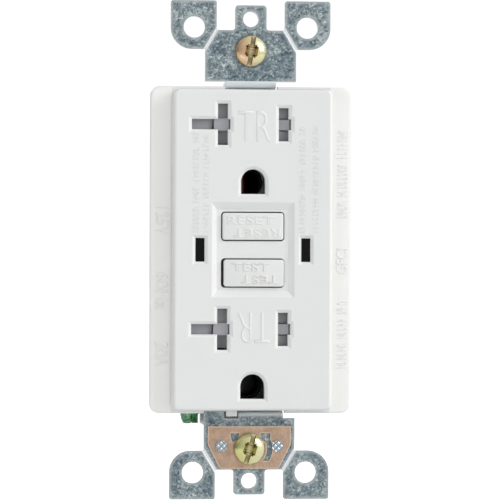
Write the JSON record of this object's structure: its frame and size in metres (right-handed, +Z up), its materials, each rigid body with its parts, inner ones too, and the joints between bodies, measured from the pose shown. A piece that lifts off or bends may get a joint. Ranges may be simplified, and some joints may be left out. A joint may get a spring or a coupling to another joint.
{
  "type": "gfci outlet",
  "caption": "Duplex ground-fault receptacle: white rectangular face with shuttered blade slots, test and reset buttons, on a galvanised mounting strap with captive screws.",
  "frame": {"origin": "midway between the two box screws, in the rear face of the strap's ears, which bears on the wall box", "axes": "+X to the right seen from the front, +Y back into the wall box, +Z up; the face looks along -Y"},
  "size_m": [0.0422, 0.0341, 0.1046],
  "materials": {
    "cover_white": "satin moulded nylon",
    "button_white": "satin moulded nylon",
    "shutter_grey": "matt grey moulding",
    "housing_white": "matt moulded polycarbonate",
    "frame_black": "matt black moulding",
    "light_pipe": "dark smoked acrylic",
    "zinc_steel": "spangled galvanised",
    "plain_steel": "bright zinc plate",
    "rivet_steel": "bright zinc plate with a cross-hatched head",
    "contact_bronze": "dark tinned bronze",
    "spring_steel": "bright wire",
    "copper": "matt rolled copper",
    "chromate": "yellow chromate plate",
    "brass": "bright rolled brass",
    "green_zinc": "green chromate plate",
    "silver_contact": "bright silver alloy",
    "fibre": "fibre board",
    "board_green": "solder-masked laminate",
    "component_black": "moulded epoxy",
    "component_blue": "dipped coating",
    "component_tan": "dipped coating",
    "coil_copper": "enamelled winding wire",
    "led_clear": "clear epoxy"
  },
  "bodies": {
    "root": {"front_cover": "cover_white", "light_pipes": "light_pipe", "reset_spring": "spring_steel", "test_spring": "spring_steel", "test_leaf": "brass", "mounting_strap": "zinc_steel", "ground_clip": "copper", "strap_rivets": "rivet_steel", "shutter_springs": "spring_steel", "shutter_plate_upper": "shutter_grey", "shutter_plate_lower": "shutter_grey", "ground_contact_upper": "contact_bronze", "ground_contact_lower": "contact_bronze", "hot_contact_frame": "brass", "neutral_contact_frame": "brass", "line_terminal_hot": "brass", "line_terminal_neutral": "brass", "middle_frame": "frame_black", "fixed_contact_rivets": "silver_contact", "carrier_spring": "spring_steel", "coil_bobbin": "frame_black", "coil_winding": "coil_copper", "coil_yoke": "plain_steel", "plunger_spring": "spring_steel", "circuit_board": "board_green", "sensor_core": "component_black", "varistor": "component_blue", "capacitors": "component_tan", "thyristor": "component_black", "resistors": "component_tan", "control_chip": "component_black", "indicator_leds": "led_clear", "rear_housing": "housing_white", "housing_screws": "plain_steel"},
    "reset": {"reset_button": "button_white", "reset_pin": "plain_steel"},
    "test": {"test_button": "button_white"},
    "shutter_a": {"shutter_upper": "shutter_grey"},
    "shutter_b": {"shutter_lower": "shutter_grey"},
    "arm_shutter_a": {"arm_shutter_upper": "shutter_grey"},
    "arm_shutter_b": {"arm_shutter_lower": "shutter_grey"},
    "carrier": {"contact_carrier": "frame_black", "contact_bridges": "brass", "moving_contact_rivets": "silver_contact"},
    "latch": {"latch_plate": "plain_steel"},
    "plunger": {"trip_plunger": "plain_steel"},
    "washer_upper": {"retaining_washer_upper": "fibre"},
    "washer_lower": {"retaining_washer_lower": "fibre"},
    "box_screw_upper": {"box_screw_upper": "chromate"},
    "box_screw_lower": {"box_screw_lower": "chromate"},
    "ground_clamp": {"ground_clamp": "green_zinc"},
    "ground_screw": {"ground_screw": "green_zinc"},
    "clamp_load_hot": {"clamp_load_hot": "plain_steel"},
    "screw_load_hot": {"screw_load_hot": "brass"},
    "clamp_load_neutral": {"clamp_load_neutral": "plain_steel"},
    "screw_load_neutral": {"screw_load_neutral": "plain_steel"},
    "clamp_line_hot": {"clamp_line_hot": "plain_steel"},
    "screw_line_hot": {"screw_line_hot": "brass"},
    "clamp_line_neutral": {"clamp_line_neutral": "plain_steel"},
    "screw_line_neutral": {"screw_line_neutral": "plain_steel"}
  },
  "joints": [
    {"name": "reset_press", "type": "slide", "parent": "root", "child": "reset", "axis": [0, 1, 0], "range_m": [0, 0.002], "stiffness_N_per_m": 400, "springref_m": -0.001, "deforming": ["reset_spring"]},
    {"name": "test_press", "type": "slide", "parent": "root", "child": "test", "axis": [0, 1, 0], "range_m": [0, 0.0012], "stiffness_N_per_m": 400, "springref_m": -0.001, "deforming": ["test_spring", "test_leaf"]},
    {"name": "contact_close", "type": "slide", "parent": "root", "child": "carrier", "axis": [0, -1, 0], "range_m": [0, 0.00145], "stiffness_N_per_m": 300, "springref_m": -0.001, "deforming": ["carrier_spring"]},
    {"name": "trip_strike", "type": "slide", "parent": "root", "child": "plunger", "axis": [0, 0, -1], "range_m": [0, 0.0016], "stiffness_N_per_m": 200, "springref_m": -0.001, "deforming": ["plunger_spring"]},
    {"name": "latch_release", "type": "slide", "parent": "carrier", "child": "latch", "axis": [0, 0, -1], "range_m": [0, 0.0016]},
    {"name": "shutter_upper_slide", "type": "slide", "parent": "root", "child": "shutter_a", "axis": [1, 0, 0], "range_m": [0, 0.0036], "stiffness_N_per_m": 150, "springref_m": -0.001, "deforming": ["shutter_springs"]},
    {"name": "arm_shutter_upper_slide", "type": "slide", "parent": "root", "child": "arm_shutter_a", "axis": [0, 0, -1], "range_m": [0, 0.0025], "stiffness_N_per_m": 150, "springref_m": -0.001, "deforming": ["shutter_springs"]},
    {"name": "shutter_lower_slide", "type": "slide", "parent": "root", "child": "shutter_b", "axis": [1, 0, 0], "range_m": [0, 0.0036], "stiffness_N_per_m": 150, "springref_m": -0.001, "deforming": ["shutter_springs"]},
    {"name": "arm_shutter_lower_slide", "type": "slide", "parent": "root", "child": "arm_shutter_b", "axis": [0, 0, -1], "range_m": [0, 0.0025], "stiffness_N_per_m": 150, "springref_m": -0.001, "deforming": ["shutter_springs"]},
    {"name": "box_screw_upper_shift", "type": "slide", "parent": "root", "child": "washer_upper", "axis": [1, 0, 0], "range_m": [-0.001, 0.001]},
    {"name": "box_screw_upper_turn", "type": "hinge", "parent": "washer_upper", "child": "box_screw_upper", "pos_m": [0, 0, 0.04167], "axis": [0, 1, 0], "continuous": true},
    {"name": "box_screw_lower_shift", "type": "slide", "parent": "root", "child": "washer_lower", "axis": [1, 0, 0], "range_m": [-0.001, 0.001]},
    {"name": "box_screw_lower_turn", "type": "hinge", "parent": "washer_lower", "child": "box_screw_lower", "pos_m": [0, 0, -0.04167], "axis": [0, 1, 0], "continuous": true},
    {"name": "load_hot_clamp_slide", "type": "slide", "parent": "root", "child": "clamp_load_hot", "axis": [-1, 0, 0], "range_m": [-0.0011, 0.001]},
    {"name": "load_hot_screw_turn", "type": "hinge", "parent": "clamp_load_hot", "child": "screw_load_hot", "pos_m": [0.016, 0.0172, 0.0202], "axis": [-1, 0, 0], "range_deg": [-499, 454]},
    {"name": "load_neutral_clamp_slide", "type": "slide", "parent": "root", "child": "clamp_load_neutral", "axis": [1, 0, 0], "range_m": [-0.0011, 0.001]},
    {"name": "load_neutral_screw_turn", "type": "hinge", "parent": "clamp_load_neutral", "child": "screw_load_neutral", "pos_m": [-0.016, 0.0172, 0.0202], "axis": [1, 0, 0], "range_deg": [-499, 454]},
    {"name": "line_hot_clamp_slide", "type": "slide", "parent": "root", "child": "clamp_line_hot", "axis": [-1, 0, 0], "range_m": [-0.0011, 0.001]},
    {"name": "line_hot_screw_turn", "type": "hinge", "parent": "clamp_line_hot", "child": "screw_line_hot", "pos_m": [0.016, 0.0172, -0.0202], "axis": [-1, 0, 0], "range_deg": [-499, 454]},
    {"name": "line_neutral_clamp_slide", "type": "slide", "parent": "root", "child": "clamp_line_neutral", "axis": [1, 0, 0], "range_m": [-0.0011, 0.001]},
    {"name": "line_neutral_screw_turn", "type": "hinge", "parent": "clamp_line_neutral", "child": "screw_line_neutral", "pos_m": [-0.016, 0.0172, -0.0202], "axis": [1, 0, 0], "range_deg": [-499, 454]},
    {"name": "ground_clamp_slide", "type": "slide", "parent": "root", "child": "ground_clamp", "axis": [1, 0, 0], "range_m": [-0.0008, 0.001]},
    {"name": "ground_screw_turn", "type": "hinge", "parent": "ground_clamp", "child": "ground_screw", "pos_m": [-0.0112, 0.0049, -0.0328], "axis": [1, 0, 0], "range_deg": [-363, 454]}
  ],
  "couplings": [
    {"joint": "latch_release", "follows": "trip_strike", "ratio": 1},
    {"joint": "load_hot_screw_turn", "follows": "load_hot_clamp_slide", "rad_per_m": 7913.3},
    {"joint": "load_neutral_screw_turn", "follows": "load_neutral_clamp_slide", "rad_per_m": 7913.3},
    {"joint": "line_hot_screw_turn", "follows": "line_hot_clamp_slide", "rad_per_m": 7913.3},
    {"joint": "line_neutral_screw_turn", "follows": "line_neutral_clamp_slide", "rad_per_m": 7913.3},
    {"joint": "ground_screw_turn", "follows": "ground_clamp_slide", "rad_per_m": 7913.3}
  ]
}
